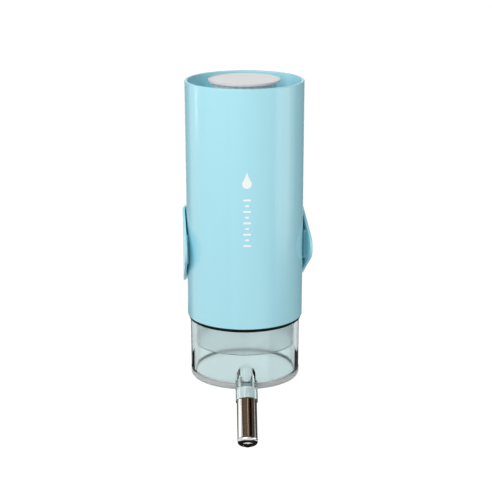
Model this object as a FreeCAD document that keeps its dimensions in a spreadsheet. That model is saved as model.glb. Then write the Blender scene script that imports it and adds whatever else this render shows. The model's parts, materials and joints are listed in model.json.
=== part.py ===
import FreeCAD, Part
import Sketcher
import math
import os

# Small-animal drinking bottle: a blue sleeve round a translucent tank, a white filler cap on top,
# a clear base cup with a slanted steel ball nozzle, and a spring clip that clamps on cage wires.
#
# Frame: +Z up, the origin in the middle of the clip's cage face, +Y out of that face towards the
# cage. The bottle's axis is vertical and stands in front of the cage face. Bottle parts are drawn
# round their own axis, with heights that are already those of the frame.

SIZES = [
    # the bottle
    ("axis_setback", 45.5, "cage face to bottle axis"),
    ("bottle_yaw", -8.6, "turn of the bottle in its clip, degrees"),
    ("rim_height", 92.4, "top rim of the sleeve"),
    ("sleeve_bottom", -39.2, "lower edge of the sleeve"),
    ("sleeve_top_radius", 32.5, "outside, at the rim"),
    ("sleeve_bottom_radius", 31.93, "outside, at the lower edge"),
    ("rim_wall", 1.6, "sleeve wall at the rim"),
    ("sleeve_wall", 1.8, "sleeve wall at the lower edge"),
    ("recess_depth", 12.0, "finger recess round the cap"),
    ("recess_draft", 0.3, "recess wall leans in by this at its floor"),
    ("deck_thickness", 2.0, "floor of the recess"),
    ("deck_gap", 0.4, "hole in the deck round the neck"),
    ("rim_rounding", 0.6, "rounding of the sleeve's rim"),
    ("hem_rounding", 0.36, "rounding of the sleeve's lower edge"),
    ("recess_rounding", 1.2, "corner at the recess floor"),
    # the tank
    ("tank_radius", 29.6, "outside of the tank"),
    ("tank_wall", 1.5, "wall of the tank"),
    ("neck_radius", 15.5, "filler neck, outside"),
    ("neck_wall", 1.6, "filler neck wall"),
    ("neck_top", 89.4, "top of the filler neck"),
    ("skirt_radius", 27.4, "lower mouth that the cup screws on, outside"),
    ("skirt_depth", 16.0, "length of the lower mouth"),
    ("shoulder_rounding", 3.0, "outside of the tank's shoulder"),
    ("inner_shoulder_rounding", 1.5, "inside of the tank's shoulder"),
    ("neck_lip_rounding", 0.4, "lip of the filler neck"),
    # the filler cap
    ("cap_radius", 19.7, "outside of the cap's flange"),
    ("flange_thickness", 1.2, "edge of the flange"),
    ("flange_rounding", 0.45, "upper edge of the flange"),
    ("cap_skirt_radius", 17.7, "skirt below the flange, outside"),
    ("cap_top", 92.9, "top of the cap"),
    ("cap_gap", 0.3, "cap skirt above the deck"),
    ("cap_bore", 16.2, "cap skirt, inside"),
    ("cap_crown", 2.3, "thickness of the cap's top"),
    ("flute_radius", 1.1, "grip flutes round the skirt"),
    ("flute_place", 18.3, "centre of a flute from the cap's axis"),
    ("flute_height", 10.4, "height of the flutes"),
    ("inlay_radius", 18.4, "disc set into the cap's top"),
    ("inlay_depth", 0.8, "its recess"),
    ("inlay_sink", 0.15, "disc below the flange's face"),
    ("seal_gap", 0.05, "running gap above a seal"),
    ("filler_seal_inner", 13.0, "filler seal, inside radius"),
    ("filler_seal_outer", 15.9, "filler seal, outside radius"),
    # the base cup
    ("cup_bottom", -74.4, "underside of the cup"),
    ("cup_top_radius", 30.45, "outside, under the seal"),
    ("cup_bottom_radius", 30.2, "outside, at the foot"),
    ("cup_wall", 2.25, "wall of the cup"),
    ("cup_floor", 3.0, "floor of the cup"),
    ("cup_seal_inner", 27.7, "cup seal, inside radius"),
    ("cup_seal_outer", 30.3, "cup seal, outside radius"),
    ("cup_seal_thickness", 1.2, "space for the cup seal"),
    ("cup_seal_fit", 0.02, "cup seal above the cup's edge"),
    ("foot_rounding", 1.2, "rounding of the cup's foot"),
    # the nozzle, along its own axis from where that axis meets the cup's wall
    ("nozzle_tilt", 45.0, "below the horizontal, degrees"),
    ("nozzle_height", 6.2, "where the axis leaves the wall, above the foot"),
    ("socket_radius", 6.0, "moulded socket, outside"),
    ("socket_length", 13.3, "from the wall to the socket's end"),
    ("socket_root", 9.0, "start of the socket inside the wall"),
    ("socket_bore", 3.5, "water way, radius"),
    ("bore_overrun", 1.0, "a bore runs past the socket's end"),
    ("bore_root", 12.0, "start of the water way inside the wall"),
    ("stem_length", 7.0, "tube's stem inside the socket"),
    ("stem_radius", 3.8, "tube's stem, outside"),
    ("stem_bore", 2.6, "tube's stem, inside"),
    ("bush_radius", 4.6, "seat of the nozzle seal"),
    ("bush_gap", 0.05, "round the nozzle seal"),
    ("tube_radius", 5.5, "steel tube, outside"),
    ("tube_bore", 4.5, "steel tube, inside"),
    ("tube_length", 22.9, "from the socket to the bead"),
    ("bead_radius", 5.75, "bead at the tip"),
    ("bead_slope", 0.5, "length over which the tube widens to the bead"),
    ("cone_start", 0.9, "cone inside the tube, from the socket's end"),
    ("cone_end", 2.1, "end of the cone"),
    ("nose_length", 2.25, "from the bead to the tip"),
    ("nose_rounding", 2.2, "rounding of the rolled-in nose"),
    ("mouth_radius", 3.0, "opening in the tip"),
    ("lip_thickness", 0.15, "edge of the opening"),
    ("ball_radius", 3.5, "both balls"),
    ("ball_gap", 0.04, "ball to its seat"),
    ("ball_pitch", 7.1, "front ball to rear ball"),
    # the clip
    ("clip_inner", 32.85, "inside of the band"),
    ("clip_wall", 1.4, "thickness of the band"),
    ("clip_height", 42.0, "height of the band"),
    ("moulded_rounding", 0.4, "edges of the band and ears"),
    ("flare_angle", 4.5, "where an ear leaves the round, behind the side, degrees"),
    ("flare_length", 17.2, "straight length of an ear"),
    ("ear_start", 5.9, "where the ear's flank starts, behind the side"),
    ("ear_tip", 19.5, "where both flanks would meet, in front of the side"),
    ("ear_tip_rounding", 8.2, "rounding of the ear's end"),
    ("ear_shoulder_rounding", 9.0, "rounding at the flank's start"),
    ("boss_width", 34.0, "boss that carries the screw"),
    ("boss_height", 30.0, "height of the boss"),
    ("boss_rounding", 5.0, "corners of the boss"),
    ("cage_pad_thickness", 1.2, "rubber on the cage face"),
    ("pad_radius", 32.5, "grip pads, where the sleeve runs"),
    ("pad_height", 16.0, "height of the grip pads"),
    ("pad_front", 8.5, "front end of a grip pad, in front of the side, degrees"),
    # the clamp
    ("screw_radius", 4.8, "clamp screw"),
    ("screw_end", 27.0, "end of the screw, behind the cage face"),
    ("screw_hole", 5.1, "holes for the screw"),
    ("head_width", 14.0, "square head of the screw"),
    ("head_thickness", 3.0, "thickness of the head"),
    ("head_seat", 36.6, "bottle axis to the seat of the head"),
    ("head_gap", 0.2, "round the head"),
    ("clamp_gap", 6.0, "cage face to clamp plate at rest"),
    ("plate_width", 44.0, "clamp plate"),
    ("plate_height", 30.0, "clamp plate"),
    ("plate_thickness", 3.5, "clamp plate"),
    ("plate_pad_thickness", 1.2, "rubber on the clamp plate"),
    ("plate_pad_margin", 2.0, "plate's edge outside its rubber"),
    ("plate_pad_rounding", 3.0, "corners of the rubber"),
    ("washer_radius", 10.0, "washer, outside"),
    ("washer_thickness", 1.0, "washer"),
    ("knob_gap", 0.1, "washer to knob"),
    ("knob_radius", 17.0, "over the lobes"),
    ("knob_hub_radius", 10.0, "hub of the knob"),
    ("knob_height", 14.0, "knob"),
    ("collar_height", 2.4, "round collar next to the washer"),
    ("knob_bore", 4.88, "runs on the screw"),
    ("hollow_radius", 6.5, "grip hollows between the lobes"),
    ("hollow_place", 19.5, "centre of a hollow from the knob's axis"),
    ("edge_rounding", 1.2, "moulded edges of the clamp parts"),
]
CAP_FLUTES = 28
KNOB_LOBES = 6
SAME_PLACE = 0.01

doc = FreeCAD.newDocument("drinking_bottle")
sheet = doc.addObject("Spreadsheet::Sheet", "Sizes")
for row, (alias, value, note) in enumerate(SIZES, start=1):
    sheet.set(f"A{row}", alias)
    sheet.set(f"B{row}", str(value))
    sheet.set(f"C{row}", note)
    sheet.setAlias(f"B{row}", alias)
doc.recompute()


class Size:
    """A value together with the spreadsheet expression that gives it."""

    def __init__(self, value, text):
        self.value = value
        self.text = text

    def joined(self, other, sign, value):
        return Size(value, f"({self.text} {sign} {as_size(other).text})")

    def __add__(self, other):
        return self.joined(other, "+", self.value + as_size(other).value)

    def __sub__(self, other):
        return self.joined(other, "-", self.value - as_size(other).value)

    def __mul__(self, other):
        return self.joined(other, "*", self.value * as_size(other).value)

    def __truediv__(self, other):
        return self.joined(other, "/", self.value / as_size(other).value)

    def __neg__(self):
        return Size(-self.value, f"(0 - {self.text})")


def as_size(number):
    return number if isinstance(number, Size) else Size(float(number), repr(float(number)))


def size(alias):
    return Size(float(sheet.get(alias)), f"Sizes.{alias}")


def sine(angle):
    return Size(math.sin(math.radians(angle.value)), f"sin({angle.text} * 1 deg)")


def cosine(angle):
    return Size(math.cos(math.radians(angle.value)), f"cos({angle.text} * 1 deg)")


def root(amount):
    return Size(math.sqrt(amount.value), f"sqrt({amount.text})")


def bind(thing, prop, amount):
    thing.setExpression(prop, amount.text)


def new_body(label):
    body = doc.addObject("PartDesign::Body", label)
    body.Label = label
    return body


def new_sketch(body, name, role, offset=None):
    """An empty sketch on one of the body's own origin planes, raised by offset along its normal."""
    sketch = body.newObject("Sketcher::SketchObject", name)
    plane = next(part for part in body.Origin.OriginFeatures if part.Role == role)
    sketch.AttachmentSupport = [(plane, "")]
    sketch.MapMode = "FlatFace"
    if offset is not None:
        bind(sketch, "AttachmentOffset.Base.z", offset)
    return sketch


def outline(sketch, corners, arcs=None):
    """A closed outline. Every corner is tied to the sheet. arcs gives, for a side by its number, the
    radius of an arc round the sketch's origin and +1 or -1 for its sense; other sides are straight."""
    arcs = arcs or {}
    ends = []
    for number, (x, y) in enumerate(corners):
        next_x, next_y = corners[(number + 1) % len(corners)]
        start = FreeCAD.Vector(x.value, y.value, 0)
        stop = FreeCAD.Vector(next_x.value, next_y.value, 0)
        if number in arcs:
            radius, sense = arcs[number]
            first, last = (start, stop) if sense > 0 else (stop, start)
            circle = Part.Circle(FreeCAD.Vector(0, 0, 0), FreeCAD.Vector(0, 0, 1), radius.value)
            turn = [math.atan2(point.y, point.x) for point in (first, last)]
            side = sketch.addGeometry(Part.ArcOfCircle(circle, turn[0], turn[1]), False)
            ends.append((side, 1, 2) if sense > 0 else (side, 2, 1))
            constraint = sketch.addConstraint(Sketcher.Constraint("Radius", side, radius.value))
            bind(sketch, f"Constraints[{constraint}]", radius)
        else:
            side = sketch.addGeometry(Part.LineSegment(start, stop), False)
            ends.append((side, 1, 2))
    for number, (side, first, last) in enumerate(ends):
        following = ends[(number + 1) % len(ends)]
        sketch.addConstraint(Sketcher.Constraint("Coincident", side, last, following[0], following[1]))
    for number, (x, y) in enumerate(corners):
        # a corner is tied through the straight side that touches it
        side, point = ends[number][0], ends[number][1]
        if number in arcs:
            side, point = ends[number - 1][0], ends[number - 1][2]
        for kind, amount in (("DistanceX", x), ("DistanceY", y)):
            rule = Sketcher.Constraint(kind, -1, 1, side, point, amount.value)
            constraint = sketch.addConstraint(rule)
            bind(sketch, f"Constraints[{constraint}]", amount)
    return sketch


def circle(sketch, x, y, radius):
    centre = FreeCAD.Vector(x.value, y.value, 0)
    ring = sketch.addGeometry(Part.Circle(centre, FreeCAD.Vector(0, 0, 1), radius.value), False)
    rules = (
        (Sketcher.Constraint("Radius", ring, radius.value), radius),
        (Sketcher.Constraint("DistanceX", -1, 1, ring, 3, x.value), x),
        (Sketcher.Constraint("DistanceY", -1, 1, ring, 3, y.value), y),
    )
    for rule, amount in rules:
        constraint = sketch.addConstraint(rule)
        bind(sketch, f"Constraints[{constraint}]", amount)
    return sketch


def box_corners(left, right, low, high):
    return [(left, low), (right, low), (right, high), (left, high)]


def revolve(body, name, corners, kind="PartDesign::Revolution"):
    """Turns an outline of (radius, height) corners round the body's Z axis."""
    sketch = outline(new_sketch(body, name + "_outline", "XZ_Plane"), corners)
    feature = body.newObject(kind, name)
    feature.Profile = sketch
    feature.ReferenceAxis = (sketch, ["V_Axis"])
    feature.Angle = 360.0
    return feature


def extrude(body, name, sketch, kind="PartDesign::Pad", length=None, midplane=False, reverse=False):
    """Pads or pockets a sketch; with no length it cuts through everything."""
    feature = body.newObject(kind, name)
    feature.Profile = sketch
    feature.Reversed = reverse
    if hasattr(feature, "SideType"):
        feature.SideType = "Symmetric" if midplane else "One side"
    else:
        feature.Midplane = midplane
    if length is None:
        feature.Type = "ThroughAll"
    else:
        feature.Type = "Length"
        bind(feature, "Length", length)
    return feature


def round_edges(body, name, radius, wanted):
    """Fillets the edges of the body's last feature for which wanted(edge) is true."""
    doc.recompute()
    base = body.Tip
    names = [f"Edge{n}" for n, edge in enumerate(base.Shape.Edges, start=1) if wanted(edge)]
    if not names:
        raise RuntimeError(f"{body.Label}: no edge to round for {name}")
    feature = body.newObject("PartDesign::Fillet", name)
    feature.Base = (base, names)
    bind(feature, "Radius", radius)
    return feature


def ring_edge(radius, height):
    """True for a whole circle of this radius, at this height, round the Z axis."""

    def test(edge):
        if not isinstance(edge.Curve, Part.Circle):
            return False
        centre = edge.Curve.Center
        off_axis = math.hypot(centre.x, centre.y)
        off_radius = abs(edge.Curve.Radius - radius.value)
        off_height = abs(centre.z - height.value)
        return max(off_axis, off_radius, off_height) < SAME_PLACE

    return test


def any_of(*tests):
    """True for an edge that passes one of the tests."""

    def test_all(edge):
        return any(test(edge) for test in tests)

    return test_all


def repeat_round(body, name, feature, axis, count):
    pattern = body.newObject("PartDesign::PolarPattern", name)
    pattern.Originals = [feature]
    pattern.Axis = axis
    pattern.Angle = 360.0
    pattern.Occurrences = count
    body.Tip = pattern
    return pattern


def axis_of(body, role):
    return next(part for part in body.Origin.OriginFeatures if part.Role == role)


def stand_on_bottle_axis(thing, turned):
    """Moves a piece from its own axis to the bottle's, and turns it with the bottle."""
    bind(thing, "Placement.Base.y", -size("axis_setback"))
    if turned:
        thing.Placement.Rotation = FreeCAD.Rotation(FreeCAD.Vector(0, 0, 1), size("bottle_yaw").value)
        bind(thing, "Placement.Rotation.Angle", size("bottle_yaw"))


ZERO = as_size(0)


def ring(body, name, inner, outer, low, high):
    return revolve(body, name, [(inner, low), (outer, low), (outer, high), (inner, high)])


# ---------------------------------------------------------------- bottle


def make_outer_sleeve():
    body = new_body("outer_sleeve")
    top, bottom = size("rim_height"), size("sleeve_bottom")
    outer_top, outer_bottom = size("sleeve_top_radius"), size("sleeve_bottom_radius")
    rim_inner = outer_top - size("rim_wall")
    floor = top - size("recess_depth")
    floor_radius = rim_inner - size("recess_draft")
    hole = size("neck_radius") + size("deck_gap")
    under_deck = floor - size("deck_thickness")
    revolve(body, "shell", [
        (outer_bottom, bottom),
        (outer_top, top),
        (rim_inner, top),
        (floor_radius, floor),
        (hole, floor),
        (hole, under_deck),
        (floor_radius, under_deck),
        (outer_bottom - size("sleeve_wall"), bottom),
    ])
    rim = any_of(ring_edge(outer_top, top), ring_edge(rim_inner, top))
    round_edges(body, "rim_edges", size("rim_rounding"), rim)
    round_edges(body, "hem", size("hem_rounding"), ring_edge(outer_bottom, bottom))
    round_edges(body, "recess_corner", size("recess_rounding"), ring_edge(floor_radius, floor))
    stand_on_bottle_axis(body, turned=True)
    return body


def make_tank():
    body = new_body("tank")
    neck, wall = size("neck_radius"), size("tank_wall")
    shoulder = size("rim_height") - size("recess_depth") - size("deck_thickness")
    foot = size("sleeve_bottom")
    skirt, skirt_foot = size("skirt_radius"), size("sleeve_bottom") - size("skirt_depth")
    outer = size("tank_radius")
    neck_inner = neck - size("neck_wall")
    revolve(body, "shell", [
        (neck, size("neck_top")),
        (neck_inner, size("neck_top")),
        (neck_inner, shoulder - wall),
        (outer - wall, shoulder - wall),
        (outer - wall, foot + wall),
        (skirt - wall, foot + wall),
        (skirt - wall, skirt_foot),
        (skirt, skirt_foot),
        (skirt, foot),
        (outer, foot),
        (outer, shoulder),
        (neck, shoulder),
    ])
    round_edges(body, "shoulder", size("shoulder_rounding"), ring_edge(outer, shoulder))
    inner_shoulder = ring_edge(outer - wall, shoulder - wall)
    round_edges(body, "inner_shoulder", size("inner_shoulder_rounding"), inner_shoulder)
    round_edges(body, "neck_lip", size("neck_lip_rounding"), ring_edge(neck, size("neck_top")))
    stand_on_bottle_axis(body, turned=True)
    return body


# ---------------------------------------------------------------- filler cap


def make_filler_cap():
    """A thin flange over a narrower fluted skirt, with a recess in its face for the disc."""
    body = new_body("filler_cap")
    radius, top = size("cap_radius"), size("cap_top")
    foot = size("rim_height") - size("recess_depth") + size("cap_gap")
    recess = top - size("inlay_depth")
    ceiling = top - size("cap_crown")
    flange = top - size("flange_thickness")
    skirt = size("cap_skirt_radius")
    revolve(body, "shell", [
        (ZERO, ceiling),
        (size("cap_bore"), ceiling),
        (size("cap_bore"), foot),
        (skirt, foot),
        (skirt, flange),
        (radius, flange),
        (radius, top),
        (size("inlay_radius"), top),
        (size("inlay_radius"), recess),
        (ZERO, recess),
    ])
    round_edges(body, "top_edge", size("flange_rounding"), ring_edge(radius, top))
    flute = new_sketch(body, "flute_outline", "XY_Plane", foot)
    circle(flute, size("flute_place"), ZERO, size("flute_radius"))
    cut = extrude(body, "flute", flute, "PartDesign::Pocket", size("flute_height"), reverse=True)
    repeat_round(body, "flutes", cut, (axis_of(body, "Z_Axis"), [""]), CAP_FLUTES)
    stand_on_bottle_axis(body, turned=True)
    return body


def make_cap_disc():
    body = new_body("cap_disc")
    low = size("cap_top") - size("inlay_depth")
    high = size("cap_top") - size("inlay_sink")
    radius = size("inlay_radius") - size("seal_gap")
    revolve(body, "disc", [(ZERO, low), (radius, low), (radius, high), (ZERO, high)])
    stand_on_bottle_axis(body, turned=True)
    return body


def make_filler_seal():
    body = new_body("filler_seal")
    low = size("neck_top") + size("seal_gap")
    high = size("cap_top") - size("cap_crown")
    ring(body, "ring", size("filler_seal_inner"), size("filler_seal_outer"), low, high)
    stand_on_bottle_axis(body, turned=True)
    return body


# ---------------------------------------------------------------- base cup and nozzle


def cup_top():
    return size("sleeve_bottom") - size("seal_gap") - size("cup_seal_thickness")


def nozzle_centre():
    """Radius and height of the point where the nozzle's axis leaves the cup's wall."""
    return size("cup_bottom_radius"), size("cup_bottom") + size("nozzle_height")


def along_nozzle(distance):
    """Distance from the bottle's axis, and height, of a point on the nozzle's axis."""
    radius, height = nozzle_centre()
    return (
        radius + cosine(size("nozzle_tilt")) * distance,
        height - sine(size("nozzle_tilt")) * distance,
    )


def nozzle_cylinder(body, name, kind, radius, start, stop):
    """A cylinder on the nozzle's axis, added to or cut from the cup."""
    feature = body.newObject(kind, name)
    reach, height = along_nozzle(start)
    lean = FreeCAD.Rotation(FreeCAD.Vector(1, 0, 0), 90.0 + size("nozzle_tilt").value)
    feature.Placement = FreeCAD.Placement(FreeCAD.Vector(0, -reach.value, height.value), lean)
    bind(feature, "Placement.Base.y", -reach)
    bind(feature, "Placement.Base.z", height)
    bind(feature, "Placement.Rotation.Angle", size("nozzle_tilt") + 90)
    bind(feature, "Radius", radius)
    bind(feature, "Height", stop - start)
    return feature


def make_base_cup():
    body = new_body("base_cup")
    bottom, top = size("cup_bottom"), cup_top()
    low_radius, high_radius = size("cup_bottom_radius"), size("cup_top_radius")
    wall = size("cup_wall")
    floor = bottom + size("cup_floor")
    revolve(body, "blank", [(ZERO, bottom), (low_radius, bottom), (high_radius, top), (ZERO, top)])
    round_edges(body, "foot_edge", size("foot_rounding"), ring_edge(low_radius, bottom))
    add, cut = "PartDesign::AdditiveCylinder", "PartDesign::SubtractiveCylinder"
    socket_end = size("socket_length")
    nozzle_cylinder(body, "socket", add, size("socket_radius"), -size("socket_root"), socket_end)
    revolve(body, "hollow", [
        (ZERO, floor),
        (low_radius - wall, floor),
        (high_radius - wall, top),
        (ZERO, top),
    ], "PartDesign::Groove")
    round_edges(body, "floor_corner", size("foot_rounding"), ring_edge(low_radius - wall, floor))
    past_end = socket_end + size("bore_overrun")
    nozzle_cylinder(body, "water_way", cut, size("socket_bore"), -size("bore_root"), past_end)
    seat = socket_end - size("stem_length")
    nozzle_cylinder(body, "seal_seat", cut, size("bush_radius"), seat, past_end)
    stand_on_bottle_axis(body, turned=True)
    return body


def make_cup_seal():
    body = new_body("cup_seal")
    high = size("sleeve_bottom") - size("seal_gap")
    low = cup_top() + size("cup_seal_fit")
    ring(body, "ring", size("cup_seal_inner"), size("cup_seal_outer"), low, high)
    stand_on_bottle_axis(body, turned=True)
    return body


def point_down_nozzle(thing, distance):
    """Places a piece that is drawn along its own Z axis on the nozzle's axis."""
    reach, height = along_nozzle(as_size(distance))
    yaw = FreeCAD.Rotation(FreeCAD.Vector(0, 0, 1), size("bottle_yaw").value)
    lean = FreeCAD.Rotation(FreeCAD.Vector(1, 0, 0), 90.0 + size("nozzle_tilt").value)
    thing.Placement = FreeCAD.Placement(FreeCAD.Vector(0, 0, 0), yaw.multiply(lean))
    bind(thing, "Placement.Base.x", reach * sine(size("bottle_yaw")))
    bind(thing, "Placement.Base.y", -reach * cosine(size("bottle_yaw")) - size("axis_setback"))
    bind(thing, "Placement.Base.z", height)


def nozzle_tip():
    return size("socket_length") + size("tube_length") + size("nose_length")


def make_nozzle_tube():
    body = new_body("nozzle_tube")
    stem_start = size("socket_length") - size("stem_length")
    shoulder = size("socket_length")
    bead = shoulder + size("tube_length")
    tip = nozzle_tip()
    lip = tip - size("lip_thickness")
    bore, mouth = size("tube_bore"), size("mouth_radius")
    revolve(body, "tube", [
        (size("stem_bore"), stem_start),
        (size("stem_radius"), stem_start),
        (size("stem_radius"), shoulder),
        (size("tube_radius"), shoulder),
        (size("tube_radius"), bead - size("bead_slope")),
        (size("bead_radius"), bead),
        (size("bead_radius"), tip),
        (mouth, tip),
        (mouth, lip),
        (bore, lip - bore + mouth),
        (bore, shoulder + size("cone_end")),
        (size("stem_bore"), shoulder + size("cone_start")),
    ])
    round_edges(body, "nose", size("nose_rounding"), ring_edge(size("bead_radius"), tip))
    point_down_nozzle(body, 0)
    return body


def make_nozzle_seal():
    body = new_body("nozzle_seal")
    gap = size("bush_gap")
    low = size("socket_length") - size("stem_length") + gap
    high = size("socket_length") - gap
    ring(body, "bush", size("stem_radius") + gap, size("bush_radius") - gap, low, high)
    point_down_nozzle(body, 0)
    return body


def make_ball(label, behind):
    ball = doc.addObject("Part::Sphere", label)
    ball.Label = label
    bind(ball, "Radius", size("ball_radius"))
    reach = size("ball_radius") + size("ball_gap")
    seat_depth = root(reach * reach - size("mouth_radius") * size("mouth_radius"))
    place = nozzle_tip() - size("lip_thickness") - seat_depth - behind
    point_down_nozzle(ball, place)
    return ball


# ---------------------------------------------------------------- clip


def make_clip():
    """A band round the back of the sleeve, drawn round the bottle's axis, with an ear at each side
    that leaves the round on a tangent, and a boss behind it for the clamp screw."""
    body = new_body("clip")
    inner = size("clip_inner")
    outer = inner + size("clip_wall")
    back = size("axis_setback") - size("cage_pad_thickness")
    half_boss, half_height = size("boss_width") / 2, size("boss_height") / 2

    boss = outline(
        new_sketch(body, "boss_outline", "XZ_Plane"),
        box_corners(-half_boss, half_boss, -half_height, half_height),
    )
    extrude(body, "boss", boss, length=back, reverse=True)

    def along_boss(edge):
        return len(edge.Vertexes) == 2 and edge.BoundBox.YLength > back.value / 2

    round_edges(body, "boss_corners", size("boss_rounding"), along_boss)

    cut_round = circle(new_sketch(body, "inner_round_outline", "XY_Plane"), ZERO, ZERO, inner)
    past_all = size("axis_setback") * 3
    extrude(body, "inner_round", cut_round, "PartDesign::Pocket", past_all, midplane=True)

    angle, length = size("flare_angle"), size("flare_length")

    def ear_corner(radius, reach, side):
        x = cosine(angle) * radius + sine(angle) * reach
        y = sine(angle) * radius - cosine(angle) * reach
        return (x if side > 0 else -x), y

    band = outline(
        new_sketch(body, "band_outline", "XY_Plane"),
        [
            ear_corner(outer, 0, 1),
            ear_corner(outer, 0, -1),
            ear_corner(outer, length, -1),
            ear_corner(inner, length, -1),
            ear_corner(inner, 0, -1),
            ear_corner(inner, 0, 1),
            ear_corner(inner, length, 1),
            ear_corner(outer, length, 1),
        ],
        {0: (outer, 1), 4: (inner, -1)},
    )
    extrude(body, "band", band, length=size("clip_height"), midplane=True)

    # the ears' outline from the side: straight flanks from the band's full height to a round end
    tall, far = size("clip_height") / 2, size("ear_tip")
    for name, sign in (("upper_flank", 1), ("lower_flank", -1)):
        edge = tall if sign > 0 else -tall
        beyond = edge * 1.5
        corners = [(size("ear_start"), edge), (-far, ZERO), (-far * 2, ZERO), (-far * 2, beyond),
                   (size("ear_start"), beyond)]
        sketch = outline(new_sketch(body, name + "_outline", "YZ_Plane"), corners)
        extrude(body, name, sketch, "PartDesign::Pocket", past_all, midplane=True)

    short = size("clip_wall").value * 1.1

    def across_ear(low_y, high_y):
        """True for the short edges through an ear's thickness, between two places along Y."""

        def test(edge):
            box = edge.BoundBox
            through = edge.Length < short and box.XLength > box.ZLength * 2
            return through and box.YMin > low_y and box.YMax < high_y

        return test

    def on_band(edge):
        return edge.BoundBox.YMax < inner.value and edge.Length > short

    tip, shoulders = size("ear_tip").value, size("ear_start").value
    round_edges(body, "ear_ends", size("ear_tip_rounding"), across_ear(-tip, -tip / 2))
    at_shoulders = across_ear(shoulders / 2, shoulders * 2)
    round_edges(body, "ear_shoulders", size("ear_shoulder_rounding"), at_shoulders)
    round_edges(body, "band_edges", size("moulded_rounding"), on_band)

    head = size("head_width") / 2 + size("head_gap")
    seat = outline(new_sketch(body, "head_seat_outline", "XZ_Plane"), box_corners(-head, head, -head, head))
    extrude(body, "head_seat", seat, "PartDesign::Pocket", size("head_seat"), reverse=False)
    hole = circle(new_sketch(body, "screw_hole_outline", "XZ_Plane"), ZERO, ZERO, size("screw_hole"))
    extrude(body, "screw_hole", hole, "PartDesign::Pocket", size("axis_setback"), reverse=False)
    stand_on_bottle_axis(body, turned=False)
    return body


def make_grip_pad(label, side):
    """A rubber wedge between an ear and the sleeve."""
    body = new_body(label)
    back, front = size("flare_angle"), size("pad_front")
    run, seat = size("pad_radius"), size("clip_inner")
    front_reach = seat / cosine(back + front)

    def corner(radius, turn):
        x = radius * cosine(turn)
        return (x if side > 0 else -x), radius * sine(turn)

    corners = [corner(run, back), corner(seat, back), corner(front_reach, -front), corner(run, -front)]
    sketch = outline(new_sketch(body, "wedge_outline", "XY_Plane"), corners, {3: (run, side)})
    extrude(body, "wedge", sketch, length=size("pad_height"), midplane=True)
    stand_on_bottle_axis(body, turned=False)
    return body


def plate(label, width, height, low, high, rounding, hole):
    """A plate with round corners and a hole, standing across the Y axis from low to high."""
    body = new_body(label)
    across, up = width / 2, height / 2
    sketch = new_sketch(body, "plate_outline", "XZ_Plane", -high)
    outline(sketch, box_corners(-across, across, -up, up))
    extrude(body, "slab", sketch, length=high - low)
    thickness = high.value - low.value

    def through_slab(edge):
        return abs(edge.BoundBox.YLength - thickness) < SAME_PLACE

    round_edges(body, "corners", rounding, through_slab)
    bore = circle(new_sketch(body, "hole_outline", "XZ_Plane", -high), ZERO, ZERO, hole)
    extrude(body, "hole", bore, "PartDesign::Pocket", high - low, reverse=True)
    return body


def make_cage_pad():
    low = -size("cage_pad_thickness")
    return plate("cage_pad", size("boss_width"), size("boss_height"), low, ZERO,
                 size("boss_rounding"), size("screw_hole"))


# ---------------------------------------------------------------- clamp


def plate_back():
    return size("clamp_gap") + size("plate_pad_thickness") + size("plate_thickness")


def make_clamp_screw():
    body = new_body("clamp_screw")
    half = size("head_width") / 2
    seat = size("head_seat") - size("axis_setback")
    head = new_sketch(body, "head_outline", "XZ_Plane", -seat)
    outline(head, box_corners(-half, half, -half, half))
    extrude(body, "head", head, length=size("head_thickness"))
    shank = circle(new_sketch(body, "shank_outline", "XZ_Plane", -seat), ZERO, ZERO, size("screw_radius"))
    extrude(body, "shank", shank, length=size("screw_end") - seat, reverse=True)
    return body


def make_plate_pad():
    high = size("clamp_gap") + size("plate_pad_thickness")
    margins = size("plate_pad_margin") * 2
    width, height = size("plate_width") - margins, size("plate_height") - margins
    return plate("plate_pad", width, height, size("clamp_gap"), high,
                 size("plate_pad_rounding"), size("screw_hole"))


def make_clamp_plate():
    low = size("clamp_gap") + size("plate_pad_thickness")
    return plate("clamp_plate", size("plate_width"), size("plate_height"), low, plate_back(),
                 size("boss_rounding"), size("screw_hole"))


def turned_on_clamp(body):
    """Lays a body that is drawn along its own Z axis on the clamp screw, +Z towards the cage."""
    body.Placement.Rotation = FreeCAD.Rotation(FreeCAD.Vector(1, 0, 0), -90)
    return body


def make_clamp_washer():
    body = new_body("clamp_washer")
    high = plate_back() + size("washer_thickness")
    ring(body, "ring", size("screw_hole") + size("head_gap"), size("washer_radius"), plate_back(), high)
    return turned_on_clamp(body)


def min_reach(edge):
    """The least distance of an edge's ends and middle from the Z axis."""
    first, last = edge.ParameterRange
    places = [edge.valueAt(first + (last - first) * share) for share in (0, 0.5, 1)]
    return min(math.hypot(place.x, place.y) for place in places)


def make_clamp_knob():
    body = new_body("clamp_knob")
    low = plate_back() + size("washer_thickness") + size("knob_gap")
    high = low + size("knob_height")
    radius, hub, bore = size("knob_radius"), size("knob_hub_radius"), size("knob_bore")
    collar = low + size("collar_height")
    revolve(body, "blank", [
        (bore, low),
        (hub, low),
        (hub, collar),
        (radius, collar),
        (radius, high),
        (bore, high),
    ])
    hollow = new_sketch(body, "hollow_outline", "XY_Plane", collar)
    circle(hollow, size("hollow_place"), ZERO, size("hollow_radius"))
    cut = extrude(body, "hollow", hollow, "PartDesign::Pocket", size("knob_height"), reverse=True)
    repeat_round(body, "hollows", cut, (axis_of(body, "Z_Axis"), [""]), KNOB_LOBES)

    def on_lobes(edge):
        return edge.BoundBox.ZMin > collar.value - SAME_PLACE and min_reach(edge) > hub.value

    round_edges(body, "lobe_edges", size("edge_rounding"), on_lobes)
    return turned_on_clamp(body)


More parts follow.
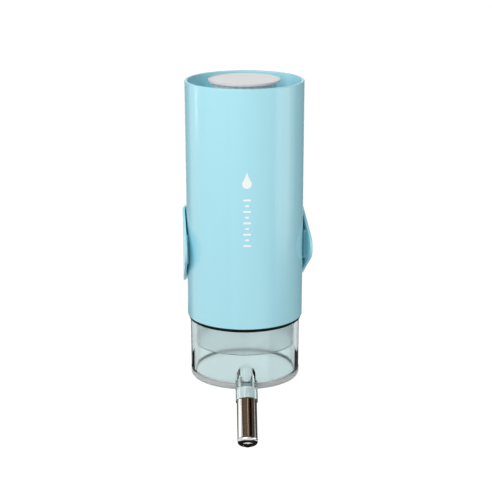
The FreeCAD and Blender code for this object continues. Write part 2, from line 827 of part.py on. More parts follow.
SUB_PARTS = [
    make_outer_sleeve(),
    make_tank(),
    make_filler_cap(),
    make_cap_disc(),
    make_filler_seal(),
    make_base_cup(),
    make_cup_seal(),
    make_nozzle_tube(),
    make_nozzle_seal(),
    make_ball("front_ball", ZERO),
    make_ball("rear_ball", size("ball_pitch")),
    make_clip(),
    make_grip_pad("grip_pad_left", -1),
    make_grip_pad("grip_pad_right", 1),
    make_cage_pad(),
    make_clamp_screw(),
    make_plate_pad(),
    make_clamp_plate(),
    make_clamp_washer(),
    make_clamp_knob(),
]
doc.recompute()

failed = [thing.Label for thing in doc.Objects if {"Invalid", "Error"} & set(thing.State)]
if failed:
    raise RuntimeError(f"these objects failed: {failed}")
for part in SUB_PARTS:
    if part.Shape.isNull() or not part.Shape.isValid():
        raise RuntimeError(f"{part.Label} has no valid shape")

os.makedirs("parts", exist_ok=True)
for part in SUB_PARTS:
    part.Shape.exportStep(f"parts/{part.Label}.step")
    box = part.Shape.BoundBox
    print(f"{part.Label:16s} {part.Shape.Volume:10.1f} mm3, {len(part.Shape.Solids)} solid, "
          f"y {box.YMin:.2f} to {box.YMax:.2f}, z {box.ZMin:.2f} to {box.ZMax:.2f}")
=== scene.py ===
import json
import math

import bmesh
import bpy
from mathutils import Matrix, Vector


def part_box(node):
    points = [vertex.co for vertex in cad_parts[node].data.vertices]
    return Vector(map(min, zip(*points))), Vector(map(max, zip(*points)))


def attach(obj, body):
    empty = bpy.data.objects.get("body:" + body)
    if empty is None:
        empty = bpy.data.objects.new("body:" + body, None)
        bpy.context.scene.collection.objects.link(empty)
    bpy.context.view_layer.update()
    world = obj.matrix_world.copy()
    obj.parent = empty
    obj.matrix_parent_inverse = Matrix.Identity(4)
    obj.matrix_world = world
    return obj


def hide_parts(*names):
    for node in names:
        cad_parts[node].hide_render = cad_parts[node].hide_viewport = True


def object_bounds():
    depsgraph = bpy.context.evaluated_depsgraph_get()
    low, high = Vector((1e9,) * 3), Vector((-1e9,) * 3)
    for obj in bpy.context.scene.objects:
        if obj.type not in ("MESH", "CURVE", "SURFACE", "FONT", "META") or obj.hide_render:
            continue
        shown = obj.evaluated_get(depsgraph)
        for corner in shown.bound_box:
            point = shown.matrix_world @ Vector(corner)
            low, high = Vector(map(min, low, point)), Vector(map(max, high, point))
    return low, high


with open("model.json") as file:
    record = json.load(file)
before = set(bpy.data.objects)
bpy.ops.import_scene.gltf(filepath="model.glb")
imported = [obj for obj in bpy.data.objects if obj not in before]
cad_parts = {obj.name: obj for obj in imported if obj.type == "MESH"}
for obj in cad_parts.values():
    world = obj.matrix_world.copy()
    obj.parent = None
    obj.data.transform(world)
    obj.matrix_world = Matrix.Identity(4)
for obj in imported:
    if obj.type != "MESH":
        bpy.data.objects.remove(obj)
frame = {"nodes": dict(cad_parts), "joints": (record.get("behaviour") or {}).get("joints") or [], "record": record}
CAD_LOW, CAD_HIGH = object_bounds()
MM = 0.001

# ---------------------------------------------------------------- places, from the frame

SLEEVE_LOW, SLEEVE_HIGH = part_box("outer_sleeve")
TANK_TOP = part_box("tank")[1].z
SCREW_LOW, SCREW_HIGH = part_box("clamp_screw")
SEAL_LOW, SEAL_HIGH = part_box("cup_seal")
BALL_LOW, BALL_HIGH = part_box("front_ball")
TIP = (BALL_LOW + BALL_HIGH) / 2
CUP_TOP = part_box("base_cup")[1].z

BOTTLE = Vector((0, (SLEEVE_LOW.y + SLEEVE_HIGH.y) / 2, 0))
JOINTS = {joint["name"]: joint for joint in frame["joints"]}
NOZZLE_UP = Vector(JOINTS["tip_ball_travel"]["axis"]).normalized()
BOTTLE_YAW = -math.atan2(NOZZLE_UP.x, NOZZLE_UP.y)
RIM_RADIUS = (SLEEVE_HIGH.y - SLEEVE_LOW.y) / 2
SLEEVE_TAPER = 0.57 * MM
NECK_RADIUS = 15.5 * MM
SCREW_RADIUS = 4.8 * MM


def sleeve_radius(height):
    """The sleeve narrows evenly from its rim to its foot."""
    share = (SLEEVE_HIGH.z - height) / (SLEEVE_HIGH.z - SLEEVE_LOW.z)
    return RIM_RADIUS - SLEEVE_TAPER * share


# ---------------------------------------------------------------- node helpers


def socket_value(node, **values):
    """Sets sockets by name, with _ for a space."""
    for name, value in values.items():
        node.inputs[name.replace("_", " ")].default_value = value


def new_material(name):
    material = bpy.data.materials.new(name)
    material.use_nodes = True
    tree = material.node_tree
    shader = tree.nodes["Principled BSDF"]
    return material, tree, shader


def add_node(tree, kind, **settings):
    node = tree.nodes.new(kind)
    for name, value in settings.items():
        setattr(node, name, value)
    return node


def object_coordinates(tree, scale=(1, 1, 1)):
    place = add_node(tree, "ShaderNodeTexCoord")
    mapping = add_node(tree, "ShaderNodeMapping")
    mapping.inputs["Scale"].default_value = scale
    tree.links.new(place.outputs["Object"], mapping.inputs["Vector"])
    return mapping.outputs["Vector"]


def noise(tree, vector, scale, detail=3.0, roughness=0.55):
    node = add_node(tree, "ShaderNodeTexNoise")
    socket_value(node, Scale=scale, Detail=detail, Roughness=roughness)
    tree.links.new(vector, node.inputs["Vector"])
    return node.outputs["Fac"]


def spread(tree, value, low, high):
    """Maps a 0 to 1 value on to low to high."""
    node = add_node(tree, "ShaderNodeMapRange")
    node.inputs["To Min"].default_value = low
    node.inputs["To Max"].default_value = high
    tree.links.new(value, node.inputs["Value"])
    return node.outputs["Result"]


def tint(tree, value, dark, light):
    """A colour between dark and light."""
    node = add_node(tree, "ShaderNodeMix", data_type="RGBA")
    node.inputs["A"].default_value = (*dark, 1)
    node.inputs["B"].default_value = (*light, 1)
    tree.links.new(value, node.inputs["Factor"])
    return node.outputs["Result"]


def bump(tree, shader, height, strength, distance):
    node = add_node(tree, "ShaderNodeBump")
    node.inputs["Strength"].default_value = strength
    node.inputs["Distance"].default_value = distance
    tree.links.new(height, node.inputs["Height"])
    tree.links.new(node.outputs["Normal"], shader.inputs["Normal"])


# ---------------------------------------------------------------- finishes

STEEL_DARK = (0.62, 0.59, 0.56)
STEEL_LIGHT = (0.74, 0.72, 0.70)


def moulded_plastic(name, dark, light, roughness, coat=0.0):
    """Opaque moulded plastic: a slight cloudiness in the colour and a fine orange-peel skin."""
    material, tree, shader = new_material(name)
    clouds = noise(tree, object_coordinates(tree, (1, 1, 0.35)), scale=60, detail=2)
    tree.links.new(tint(tree, clouds, dark, light), shader.inputs["Base Color"])
    skin = noise(tree, object_coordinates(tree), scale=900, detail=3)
    rough = spread(tree, skin, low=roughness - 0.03, high=roughness + 0.03)
    tree.links.new(rough, shader.inputs["Roughness"])
    socket_value(shader, IOR=1.49, Coat_Weight=coat, Coat_Roughness=0.12)
    bump(tree, shader, skin, strength=0.12, distance=0.02 * MM)
    return material


def clear_plastic(name, dark, light, roughness, index, depth_colour, depth, clarity=1.0):
    """Clear plastic with faint clouds and wipe marks.

    It takes on depth_colour where it is thick, depth says how strongly, and a clarity below 1
    makes it milky.
    """
    material, tree, shader = new_material(name)
    clouds = noise(tree, object_coordinates(tree), scale=45, detail=2)
    tree.links.new(tint(tree, clouds, dark, light), shader.inputs["Base Color"])
    wipes = noise(tree, object_coordinates(tree, (1, 1, 0.12)), scale=700, detail=4)
    rough = spread(tree, wipes, low=roughness * 0.5, high=roughness * 1.5)
    tree.links.new(rough, shader.inputs["Roughness"])
    socket_value(shader, IOR=index, Transmission_Weight=clarity)
    bump(tree, shader, wipes, strength=0.05, distance=0.01 * MM)
    body = add_node(tree, "ShaderNodeVolumeAbsorption")
    socket_value(body, Color=(*depth_colour, 1), Density=depth)
    tree.links.new(body.outputs["Volume"], tree.nodes["Material Output"].inputs["Volume"])
    return material


def frosted_plastic(name, dark, light):
    """Clear plastic with a sanded face, which scatters what lies behind it."""
    material, tree, shader = new_material(name)
    grain = noise(tree, object_coordinates(tree), scale=2200, detail=3)
    tree.links.new(tint(tree, grain, dark, light), shader.inputs["Base Color"])
    tree.links.new(spread(tree, grain, low=0.5, high=0.62), shader.inputs["Roughness"])
    socket_value(shader, IOR=1.3, Transmission_Weight=0.5)
    bump(tree, shader, grain, strength=0.2, distance=0.03 * MM)
    return material


def soft_rubber(name, dark, light, roughness, shine=0.35):
    """Matt rubber with a fine grain."""
    material, tree, shader = new_material(name)
    grain = noise(tree, object_coordinates(tree), scale=1600, detail=4, roughness=0.7)
    tree.links.new(tint(tree, grain, dark, light), shader.inputs["Base Color"])
    rough = spread(tree, grain, low=roughness - 0.08, high=roughness + 0.08)
    tree.links.new(rough, shader.inputs["Roughness"])
    socket_value(shader, IOR=1.5, Specular_IOR_Level=shine)
    bump(tree, shader, grain, strength=0.3, distance=0.05 * MM)
    return material


def bright_steel(name, roughness, marks):
    """Polished stainless steel. marks is how much the turning marks show."""
    material, tree, shader = new_material(name)
    turned = noise(tree, object_coordinates(tree, (0.2, 1, 1)), scale=2600, detail=2)
    clouds = noise(tree, object_coordinates(tree), scale=220, detail=3)
    metal = tint(tree, clouds, STEEL_DARK, STEEL_LIGHT)
    tree.links.new(metal, shader.inputs["Base Color"])
    socket_value(shader, Metallic=1.0)
    rough = spread(tree, turned, low=roughness * 0.6, high=roughness * 1.5)
    tree.links.new(rough, shader.inputs["Roughness"])
    bump(tree, shader, turned, strength=marks, distance=0.01 * MM)
    return material


FINISH = {
    "blue_plastic": moulded_plastic(
        "blue_plastic", dark=(0.385, 0.76, 0.86), light=(0.42, 0.80, 0.90), roughness=0.26, coat=0.3,
    ),
    # Grey rather than white, and darker than the disc's white: painted shade for the cap's skirt in the recess
    # under its flange.
    "white_plastic": moulded_plastic(
        "white_plastic", dark=(0.66, 0.67, 0.69), light=(0.71, 0.72, 0.74), roughness=0.3,
    ),
    "disc_plastic": moulded_plastic(
        "disc_plastic", dark=(0.86, 0.87, 0.88), light=(0.90, 0.905, 0.91), roughness=0.42,
    ),
    "grip_rubber": soft_rubber(
        "grip_rubber", dark=(0.30, 0.62, 0.72), light=(0.36, 0.68, 0.78), roughness=0.55,
    ),
    # Near black. On the cup's seal this black is also painted shade for the shadow gap under the sleeve's rim.
    "black_rubber": soft_rubber(
        "black_rubber", dark=(0.003, 0.003, 0.003), light=(0.007, 0.007, 0.007), roughness=0.6, shine=0.08,
    ),
    "clear_plastic": clear_plastic(
        "clear_plastic", dark=(0.735, 0.825, 0.832), light=(0.762, 0.845, 0.852), roughness=0.015,
        index=1.49, depth_colour=(0.2, 0.5, 0.52), depth=8,
    ),
    "tank_plastic": clear_plastic(
        "tank_plastic", dark=(0.90, 0.93, 0.93), light=(0.94, 0.96, 0.96), roughness=0.22,
        index=1.15, depth_colour=(0.4, 0.46, 0.46), depth=6, clarity=0.82,
    ),
    "frosted_plastic": frosted_plastic(
        "frosted_plastic", dark=(0.66, 0.68, 0.68), light=(0.73, 0.75, 0.75),
    ),
    "silicone": soft_rubber(
        "silicone", dark=(0.90, 0.93, 0.93), light=(0.94, 0.96, 0.96), roughness=0.45,
    ),
    "steel": bright_steel("steel", roughness=0.09, marks=0.05),
    "ball_steel": bright_steel("ball_steel", roughness=0.04, marks=0.0),
    "print_ink": moulded_plastic(
        "print_ink", dark=(0.94, 0.95, 0.95), light=(0.97, 0.98, 0.98), roughness=0.4,
    ),
}


def dress_frame():
    """Every CAD node takes the finish of its own material slot."""
    for part in frame["record"]["subparts"]:
        node = frame["nodes"][part["node"]]
        node.data.materials.clear()
        node.data.materials.append(FINISH[part["material_slot"]])


dress_frame()

# ---------------------------------------------------------------- pieces made here


def add_piece(name, mesh_data, finish, body):
    """Turns a bmesh into a piece that rides a body and belongs to a material slot."""
    mesh = bpy.data.meshes.new(name)
    mesh_data.to_mesh(mesh)
    mesh_data.free()
    mesh.materials.append(FINISH[finish])
    piece = bpy.data.objects.new(name, mesh)
    bpy.context.scene.collection.objects.link(piece)
    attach(piece, body)
    return piece


# the printed marks: a drop over a column of dashes, wrapped round the front of the sleeve

PRINT_THICKNESS = 0.04 * MM
PRINT_SINK = 0.01 * MM
PRINT_TURN = math.radians(0.9)
PRINT_TOP = 42 * MM
PRINT_FOOT = 8 * MM
DROP_RADIUS = 2.6 * MM
DROP_STRETCH = 1.35
DROP_PINCH = 0.75
DASH_COUNT = 9
DASH_LONG = 4.2 * MM
DASH_SHORT = 2.2 * MM
DASH_HALF_HEIGHT = 0.55 * MM
DASH_COLUMN = PRINT_TOP - 3 * DROP_RADIUS - PRINT_FOOT + 2 * MM
DASH_PITCH = DASH_COLUMN / DASH_COUNT
# the flat marks are cut into strips, so that they bend with the sleeve
STRIP_WIDTH = 0.8 * MM
STRIP_CUTS_EACH_SIDE = 3


def standing(height):
    """Stands a flat mark up, facing -Y, with its middle at a height."""
    return Matrix.Translation((0, 0, height)) @ Matrix.Rotation(math.radians(90), 4, "X")


def flat_drop(marks, height):
    """A drop in the XZ plane: a disc whose upper half is drawn out to a point."""
    disc = bmesh.ops.create_circle(marks, cap_ends=True, segments=40, radius=DROP_RADIUS)
    for vert in disc["verts"]:
        rise = max(vert.co.y / DROP_RADIUS, 0)
        vert.co.x *= 1 - DROP_PINCH * rise ** 2
        vert.co.y *= 1 + DROP_STRETCH * rise ** 2
    bmesh.ops.transform(marks, matrix=standing(height), verts=disc["verts"])


def flat_dash(marks, half_length, height):
    """A round-ended dash in the XZ plane."""
    disc = bmesh.ops.create_circle(marks, cap_ends=True, segments=16, radius=DASH_HALF_HEIGHT)
    stretch = half_length - DASH_HALF_HEIGHT
    for vert in disc["verts"]:
        vert.co.x += math.copysign(stretch, vert.co.x)
    bmesh.ops.transform(marks, matrix=standing(height), verts=disc["verts"])


def add_print_marks():
    marks = bmesh.new()
    flat_drop(marks, PRINT_TOP)
    for number in range(DASH_COUNT):
        is_long = number % 2 == 0
        length = DASH_LONG if is_long else DASH_SHORT
        flat_dash(marks, length / 2, PRINT_FOOT + DASH_PITCH * number)

    for step in range(-STRIP_CUTS_EACH_SIDE, STRIP_CUTS_EACH_SIDE + 1):
        everything = marks.verts[:] + marks.edges[:] + marks.faces[:]
        cut = (step * STRIP_WIDTH, 0, 0)
        bmesh.ops.bisect_plane(marks, geom=everything, plane_co=cut, plane_no=(1, 0, 0))

    bmesh.ops.recalc_face_normals(marks, faces=marks.faces)
    for face in marks.faces:
        if face.normal.y > 0:
            face.normal_flip()
    printed = bmesh.ops.extrude_face_region(marks, geom=marks.faces[:], use_keep_orig=True)
    raised = [part for part in printed["geom"] if isinstance(part, bmesh.types.BMVert)]
    bmesh.ops.translate(marks, vec=(0, -PRINT_THICKNESS, 0), verts=raised)

    front = BOTTLE_YAW + PRINT_TURN - math.radians(90)
    for vert in marks.verts:
        radius = sleeve_radius(vert.co.z) - PRINT_SINK - vert.co.y
        angle = front + vert.co.x / radius
        vert.co = BOTTLE + Vector((radius * math.cos(angle), radius * math.sin(angle), vert.co.z))
    bmesh.ops.recalc_face_normals(marks, faces=marks.faces)
    add_piece("print_marks", marks, "print_ink", "bottle")


# threads: a ridge swept round and along an axis

RIDGE_ROOT = 0.1 * MM  # how deep a ridge is sunk into its core


def swept_ridge(target, profile, turns, lead, steps_per_turn=48):
    """Sweeps a closed profile in the XZ plane up a helix round Z and closes both its ends."""
    corners = [target.verts.new(place) for place in profile]
    start = target.faces.new(corners)
    steps = int(turns * steps_per_turn)
    bmesh.ops.spin(
        target,
        geom=[start, *start.edges, *corners],
        cent=(0, 0, 0),
        axis=(0, 0, 1),
        dvec=(0, 0, lead / steps_per_turn),
        angle=math.radians(360) * turns,
        steps=steps,
        use_duplicate=False,
    )


NECK_LEAD = 4 * MM
NECK_TURNS = 1.75
NECK_THREAD_DROP = 2.2 * MM  # from the neck's top to where the thread ends
NECK_RIDGE_HEIGHT = 0.55 * MM
NECK_RIDGE_HALF_WIDTH = 0.75 * MM
NECK_CREST_SHARE = 0.4  # the crest's width as a share of the root's


def add_neck_thread():
    """The cap's thread on the filler neck."""
    thread = bmesh.new()
    start = TANK_TOP - NECK_THREAD_DROP - NECK_LEAD * NECK_TURNS
    root, crest = NECK_RADIUS - RIDGE_ROOT, NECK_RADIUS + NECK_RIDGE_HEIGHT
    half = NECK_RIDGE_HALF_WIDTH
    profile = [
        (root, 0, start - half),
        (crest, 0, start - half * NECK_CREST_SHARE),
        (crest, 0, start + half * NECK_CREST_SHARE),
        (root, 0, start + half),
    ]
    swept_ridge(thread, profile, NECK_TURNS, NECK_LEAD)
    bmesh.ops.recalc_face_normals(thread, faces=thread.faces)
    bmesh.ops.translate(thread, vec=BOTTLE, verts=thread.verts)
    add_piece("neck_thread", thread, "tank_plastic", "bottle")


SCREW_LEAD = 3 * MM
THREAD_DEPTH = 0.65 * MM
HEAD_THICKNESS = 3 * MM
HEAD_BEVEL = 0.5 * MM
SCREW_POINT = 1.2 * MM
PLAIN_SHANK = 14 * MM  # from the head to where the ridge starts
THREAD_END_GAP = 1.2 * MM  # from the ridge's end to the bevelled point
ROOT_SHARE = 0.36  # half of the ridge's root, as a share of the lead
CREST_SHARE = 0.1  # half of its crest, likewise
END_EDGE_REACH = 0.1 * MM


def add_threaded_screw():
    """The clamp screw: a square head, a plain core and a coarse ridge along the shank."""
    screw = bmesh.new()
    core = SCREW_RADIUS - THREAD_DEPTH
    width = SCREW_HIGH.x - SCREW_LOW.x
    head = bmesh.ops.create_cube(screw, size=1)
    bmesh.ops.scale(screw, vec=(width, width, HEAD_THICKNESS), verts=head["verts"])
    bmesh.ops.bevel(
        screw, geom=screw.edges[:], offset=HEAD_BEVEL, offset_type="OFFSET", affect="EDGES",
        segments=3, profile=0.5, material=-1,
    )
    bmesh.ops.translate(screw, vec=(0, 0, HEAD_THICKNESS / 2), verts=screw.verts)

    length = SCREW_HIGH.y - SCREW_LOW.y
    shank_length = length - HEAD_THICKNESS
    shank = bmesh.ops.create_cone(
        screw, cap_ends=True, segments=64, radius1=core, radius2=core, depth=shank_length,
    )
    middle = HEAD_THICKNESS + shank_length / 2
    bmesh.ops.translate(screw, vec=(0, 0, middle), verts=shank["verts"])
    end = length - END_EDGE_REACH
    end_edges = [edge for edge in screw.edges if min(vert.co.z for vert in edge.verts) > end]
    bmesh.ops.bevel(
        screw, geom=end_edges, offset=SCREW_POINT, offset_type="OFFSET", affect="EDGES",
        segments=2, profile=0.5, material=-1,
    )

    start = HEAD_THICKNESS + PLAIN_SHANK
    turns = (length - SCREW_POINT - THREAD_END_GAP - start) / SCREW_LEAD
    root = core - RIDGE_ROOT
    profile = [
        (root, 0, start - SCREW_LEAD * ROOT_SHARE),
        (SCREW_RADIUS, 0, start - SCREW_LEAD * CREST_SHARE),
        (SCREW_RADIUS, 0, start + SCREW_LEAD * CREST_SHARE),
        (root, 0, start + SCREW_LEAD * ROOT_SHARE),
    ]
    swept_ridge(screw, profile, turns, SCREW_LEAD)
    bmesh.ops.recalc_face_normals(screw, faces=screw.faces)
    lay = Matrix.Translation((0, SCREW_LOW.y, 0)) @ Matrix.Rotation(math.radians(-90), 4, "X")
    bmesh.ops.transform(screw, matrix=lay, verts=screw.verts)
    piece = add_piece("threaded_screw", screw, "white_plastic", "holder")
    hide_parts("clamp_screw")


# rings turned round the bottle's axis

RING_STEPS = 160
MERGE_DISTANCE = 0.001 * MM


def turned_ring(name, profile, finish, body):
    """Turns a closed profile of (radius, height) corners into a ring round the bottle's axis."""
    ring = bmesh.new()
    corners = [ring.verts.new((radius, 0, height)) for radius, height in profile]
    section = [ring.edges.new((corners[n - 1], corners[n])) for n in range(len(corners))]
    bmesh.ops.spin(
        ring, geom=corners + section, cent=(0, 0, 0), axis=(0, 0, 1), dvec=(0, 0, 0),
        angle=math.radians(360), steps=RING_STEPS, use_merge=True, use_duplicate=False,
    )
    bmesh.ops.remove_doubles(ring, verts=ring.verts, dist=MERGE_DISTANCE)
    bmesh.ops.recalc_face_normals(ring, faces=ring.faces)
    bmesh.ops.translate(ring, vec=BOTTLE, verts=ring.verts)
    for face in ring.faces:
        face.smooth = True
    return add_piece(name, ring, finish, body)


LIP_OUTER = 31.15 * MM
LIP_INNER = 30.52 * MM
LIP_DROP = 0.6 * MM
LIP_BEVEL = 0.25 * MM
SEAL_WIDTH = 3.45 * MM


def add_cup_seal_and_gap_shade():
    """The cup's seal, with a thin lip that hangs down outside the cup's edge. Its near-black rubber is partly the
    seal's own colour and partly painted shade for the shadow gap under the sleeve's rim.
    """
    inner = LIP_OUTER - SEAL_WIDTH
    top, bottom = SEAL_HIGH.z, SEAL_LOW.z
    foot = CUP_TOP - LIP_DROP
    profile = [
        (inner, bottom),
        (LIP_INNER, bottom),
        (LIP_INNER, foot),
        (LIP_OUTER - LIP_BEVEL, foot),
        (LIP_OUTER, foot + LIP_BEVEL),
        (LIP_OUTER, top - LIP_BEVEL),
        (LIP_OUTER - LIP_BEVEL, top),
        (inner, top),
    ]
    seal_and_gap_shade = turned_ring("cup_seal_and_gap_shade", profile, "black_rubber", "cup_ring")
    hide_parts("cup_seal")


CUP_HEIGHT = 33.95 * MM
CUP_FOOT_RADIUS = 30.2 * MM
CUP_LOW_FACE = CUP_TOP - CUP_HEIGHT
FOOT_ROUNDING = 1.2 * MM
FOOT_ARC_STEPS = 6
BAND_HEIGHT = 3.8 * MM
BAND_THICKNESS = 0.18 * MM
SKIN_GAP = 0.03 * MM  # air between the band and the cup, so that their faces stay apart


def add_foot_band():
    """The sanded band round the cup's foot, a thin skin over the wall and its rounded edge."""
    radius = CUP_FOOT_RADIUS + BAND_THICKNESS
    centre_radius = CUP_FOOT_RADIUS - FOOT_ROUNDING
    centre_height = CUP_LOW_FACE + FOOT_ROUNDING
    outer_reach = FOOT_ROUNDING + BAND_THICKNESS * 0.5
    inner_reach = FOOT_ROUNDING + SKIN_GAP
    outer, inner = [], []
    for step in range(FOOT_ARC_STEPS + 1):
        turn = math.radians(90) * step / FOOT_ARC_STEPS
        for skin, reach in ((outer, outer_reach), (inner, inner_reach)):
            skin.append((centre_radius + math.cos(turn) * reach, centre_height - math.sin(turn) * reach))
    top = CUP_LOW_FACE + BAND_HEIGHT
    profile = [(radius, top), *outer, *reversed(inner), (CUP_FOOT_RADIUS + SKIN_GAP, top)]
    turned_ring("foot_band", profile, "frosted_plastic", "cup")


add_cup_seal_and_gap_shade()
add_foot_band()
add_print_marks()
add_neck_thread()
add_threaded_screw()

# ---------------------------------------------------------------- camera, lights and floor

VIEW_AZIMUTH = -10.0
VIEW_PITCH = 15.437
VIEW_ROLL = -0.108
VIEW_DISTANCE = 0.86365
FOCAL_LENGTH = 113.81
SENSOR_WIDTH = 36.0
AIM_SIDE = 0.68 * MM
AIM_DROP = 93.22 * MM
STUDIO_DROP = 70 * MM
MIDDLE = BOTTLE + Vector((0, 0, SLEEVE_HIGH.z - STUDIO_DROP))


def view_direction(azimuth, elevation):
    """Unit vector from the bottle to a place round it. Azimuth 0 is the camera's, + is its right."""
    turn, rise = math.radians(VIEW_AZIMUTH + azimuth), math.radians(elevation)
    return Vector((math.sin(turn) * math.cos(rise), -math.cos(turn) * math.cos(rise), math.sin(rise)))


def facing(direction, roll=0.0):
    """A rotation whose +Z is direction and whose +X is level, before the roll."""
    right = Vector((0, 0, 1)).cross(direction).normalized()
    up = direction.cross(right)
    turned = Matrix((right, up, direction)).transposed() @ Matrix.Rotation(roll, 3, "Z")
    return turned.to_4x4()


def add_camera():
    data = bpy.data.cameras.new("camera")
    data.sensor_width = SENSOR_WIDTH
    data.lens = FOCAL_LENGTH
    camera = bpy.data.objects.new("camera", data)
    bpy.context.scene.collection.objects.link(camera)
    back = view_direction(0, VIEW_PITCH)
    level = facing(back).to_3x3()
    aim = BOTTLE + level @ Vector((AIM_SIDE, 0, 0)) + Vector((0, 0, SLEEVE_HIGH.z - AIM_DROP))
    stand = Matrix.Translation(aim + back * VIEW_DISTANCE)
    camera.matrix_world = stand @ facing(back, math.radians(VIEW_ROLL))
    bpy.context.scene.camera = camera


def studio_place(azimuth, elevation, distance):
    """A place round the bottle's middle, turned to face it."""
    direction = view_direction(azimuth, elevation)
    return Matrix.Translation(MIDDLE + direction * distance) @ facing(direction)


def upright(azimuth, low, high, distance):
    """An upright place between two heights, turned to face the bottle's axis."""
    direction = view_direction(azimuth, 0)
    centre = BOTTLE + direction * distance + Vector((0, 0, (low + high) / 2))
    return Matrix.Translation(centre) @ facing(direction)


def add_light(name, place, width, height, power):
    data = bpy.data.lights.new(name, "AREA")
    data.shape = "RECTANGLE"
    data.size, data.size_y = width, height
    data.energy = power
    light = bpy.data.objects.new(name, data)
    bpy.context.scene.collection.objects.link(light)
    light.matrix_world = place
    light.visible_camera = False
    return light


def flat_stage(name, width, height, place, material):
    """A flat sheet of the studio."""
    sheet = bmesh.new()
    bmesh.ops.create_grid(sheet, x_segments=1, y_segments=1, size=0.5)
    bmesh.ops.scale(sheet, vec=(width, height, 1), verts=sheet.verts)
    bmesh.ops.transform(sheet, matrix=place, verts=sheet.verts)
    mesh = bpy.data.meshes.new(name)
    sheet.to_mesh(mesh)
    sheet.free()
    mesh.materials.append(material)
    piece = bpy.data.objects.new(name, mesh)
    bpy.context.scene.collection.objects.link(piece)
    return piece


def add_card(name, place, width, height, colour):
    """A card of one even shade. It gives no light, and only polished or clear faces show it."""
    material, tree, shader = new_material(name)
    socket_value(shader, Base_Color=(0, 0, 0, 1), Roughness=1.0, Specular_IOR_Level=0.0)
    socket_value(shader, Emission_Color=(*colour, 1), Emission_Strength=1.0)
    card = flat_stage(name, width, height, place, material)
    card.visible_camera = False
    card.visible_diffuse = False
    card.visible_shadow = False
    return card


def two_strengths(tree, seen, given, socket):
    """One strength for how bright a thing looks, another for the light it gives to matt faces."""
    path = add_node(tree, "ShaderNodeLightPath")
    strength = spread(tree, path.outputs["Is Diffuse Ray"], seen, given)
    tree.links.new(strength, socket)


# the white surround: the world and the floor look white and light the bottle more softly

FLOOR_DROP = 200 * MM
FLOOR_SIZE = 12
SURROUND_SEEN = 1.0
WORLD_GIVEN = 0.42
FLOOR_GIVEN = 0.35


def add_surround():
    scene = bpy.context.scene
    world = bpy.data.worlds.new("studio")
    world.use_nodes = True
    scene.world = world
    background = world.node_tree.nodes["Background"]
    background.inputs["Color"].default_value = (1, 1, 1, 1)
    two_strengths(world.node_tree, SURROUND_SEEN, WORLD_GIVEN, background.inputs["Strength"])

    material, tree, shader = new_material("floor")
    socket_value(shader, Base_Color=(0.05, 0.05, 0.05, 1), Roughness=0.9, Specular_IOR_Level=0.0)
    shader.inputs["Emission Color"].default_value = (1, 1, 1, 1)
    two_strengths(tree, SURROUND_SEEN, FLOOR_GIVEN, shader.inputs["Emission Strength"])
    floor_place = Matrix.Translation((0, 0, CAD_LOW.z - FLOOR_DROP))
    flat_stage("floor", FLOOR_SIZE, FLOOR_SIZE, floor_place, material)
    scene.view_settings.view_transform = "Standard"


CEILING_HEIGHT = 0.45
CEILING_DEPTH = 1.2
CEILING_BACK = 0.05
CEILING = [
    # name, left and right edges in metres, colour
    ("ceiling_brown", -0.78, 0.025, (0.105, 0.068, 0.040)),
    ("ceiling_gap", 0.025, 0.105, (0.50, 0.42, 0.31)),
    ("ceiling_shade", 0.105, 0.23, (0.12, 0.10, 0.068)),
    ("ceiling_black", 0.23, 0.60, (0.014, 0.003, 0.002)),
    ("ceiling_grey", 0.60, 2.2, (0.075, 0.065, 0.048)),
]


def add_ceiling():
    """The dark ceiling that polished metal shows, in strips from the left to the right."""
    turn = Matrix.Rotation(math.radians(VIEW_AZIMUTH), 4, "Z")
    middle = Matrix.Translation(MIDDLE) @ turn
    for name, left, right, colour in CEILING:
        place = middle @ Matrix.Translation(((left + right) / 2, CEILING_BACK, CEILING_HEIGHT))
        card = add_card(name, place, right - left, CEILING_DEPTH, colour)
        card.visible_transmission = False


LAMP_DISTANCE = 0.9
STRIP_DISTANCE = 0.6


def add_lights():
    key_place = studio_place(azimuth=-30, elevation=35, distance=LAMP_DISTANCE)
    add_light("key_light", key_place, width=0.7, height=0.9, power=6.2)

    back_place = studio_place(azimuth=165, elevation=0, distance=LAMP_DISTANCE)
    back_light = add_light("back_light", back_place, width=0.7, height=0.5, power=2.5)
    back_light.visible_glossy = False
    back_light.visible_transmission = False

    low, high = -0.05, 0.40
    left_place = upright(-103, low, high, STRIP_DISTANCE)
    left_strip = add_light("left_strip", left_place, width=0.06, height=high - low, power=0.30)
    left_strip.data.use_shadow = False
    left_strip.visible_diffuse = False

    low, high = -0.18, 0.14
    right_place = upright(79, low, high, STRIP_DISTANCE)
    add_light("right_strip", right_place, width=0.36, height=high - low, power=0.62)


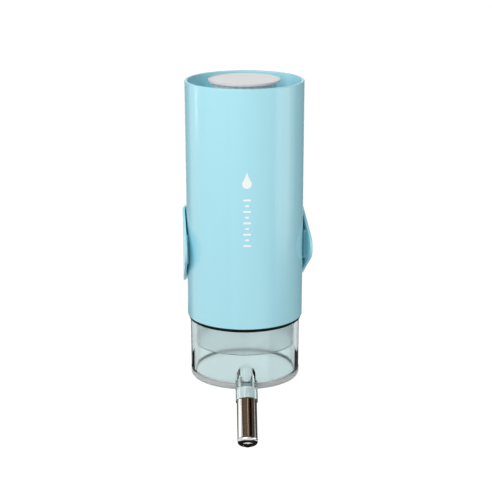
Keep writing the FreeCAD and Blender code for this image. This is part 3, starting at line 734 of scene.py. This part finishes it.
CARD_DISTANCE = 0.5
NEAR_BLACK = (0.01, 0.01, 0.01)
WHITE = (1, 1, 1)
GLOSS_CARDS = [
    # name, azimuth in degrees, width, foot and top in metres, colour
    ("right_card", 136, 0.52, -0.29, 0.42, (0.08, 0.08, 0.08)),
    ("right_low_card", 79, 0.56, -0.29, -0.13, (0.14, 0.13, 0.12)),
    ("left_low_card", -153, 0.50, -0.29, -0.19, NEAR_BLACK),
    ("left_card", -143, 0.28, -0.19, 0.42, (0.15, 0.15, 0.15)),
]
CUP_CARDS = [
    # name, azimuth in degrees, width, foot and top in metres
    ("right_cup_card", 153, 0.27, -0.297, -0.235),
    ("left_cup_card", -155, 0.21, -0.297, -0.235),
]
CUP_CARD_SEEN = 1.0
CUP_CARD_REFLECTED = 0.01
BELOW_CARD_OFFSET = Vector((0, -50 * MM, -150 * MM))
BELOW_CARD_WIDTH = 0.50
BELOW_CARD_DEPTH = 0.45


def add_gloss_cards():
    """Upright cards that show in polished faces but not through the clear cup."""
    for name, azimuth, width, low, high, colour in GLOSS_CARDS:
        place = upright(azimuth, low, high, CARD_DISTANCE)
        card = add_card(name, place, width, high - low, colour)
        card.visible_transmission = False


def add_cup_cards():
    """Cards that are dark only in the reflections inside the cup's clear wall, and white otherwise."""
    for name, azimuth, width, low, high in CUP_CARDS:
        place = upright(azimuth, low, high, CARD_DISTANCE)
        card = add_card(name, place, width, high - low, WHITE)
        card.visible_glossy = False
        tree = card.data.materials[0].node_tree
        path = add_node(tree, "ShaderNodeLightPath")
        strength = spread(tree, path.outputs["Glossy Depth"], CUP_CARD_SEEN, CUP_CARD_REFLECTED)
        tree.links.new(strength, tree.nodes["Principled BSDF"].inputs["Emission Strength"])


def add_below_card():
    """The dark card that the tube's tip shows from below."""
    place = Matrix.Translation(TIP + BELOW_CARD_OFFSET)
    card = add_card("below_card", place, BELOW_CARD_WIDTH, BELOW_CARD_DEPTH, NEAR_BLACK)
    card.visible_transmission = False


add_camera()
add_surround()
add_ceiling()
add_lights()
add_gloss_cards()
add_cup_cards()
add_below_card()
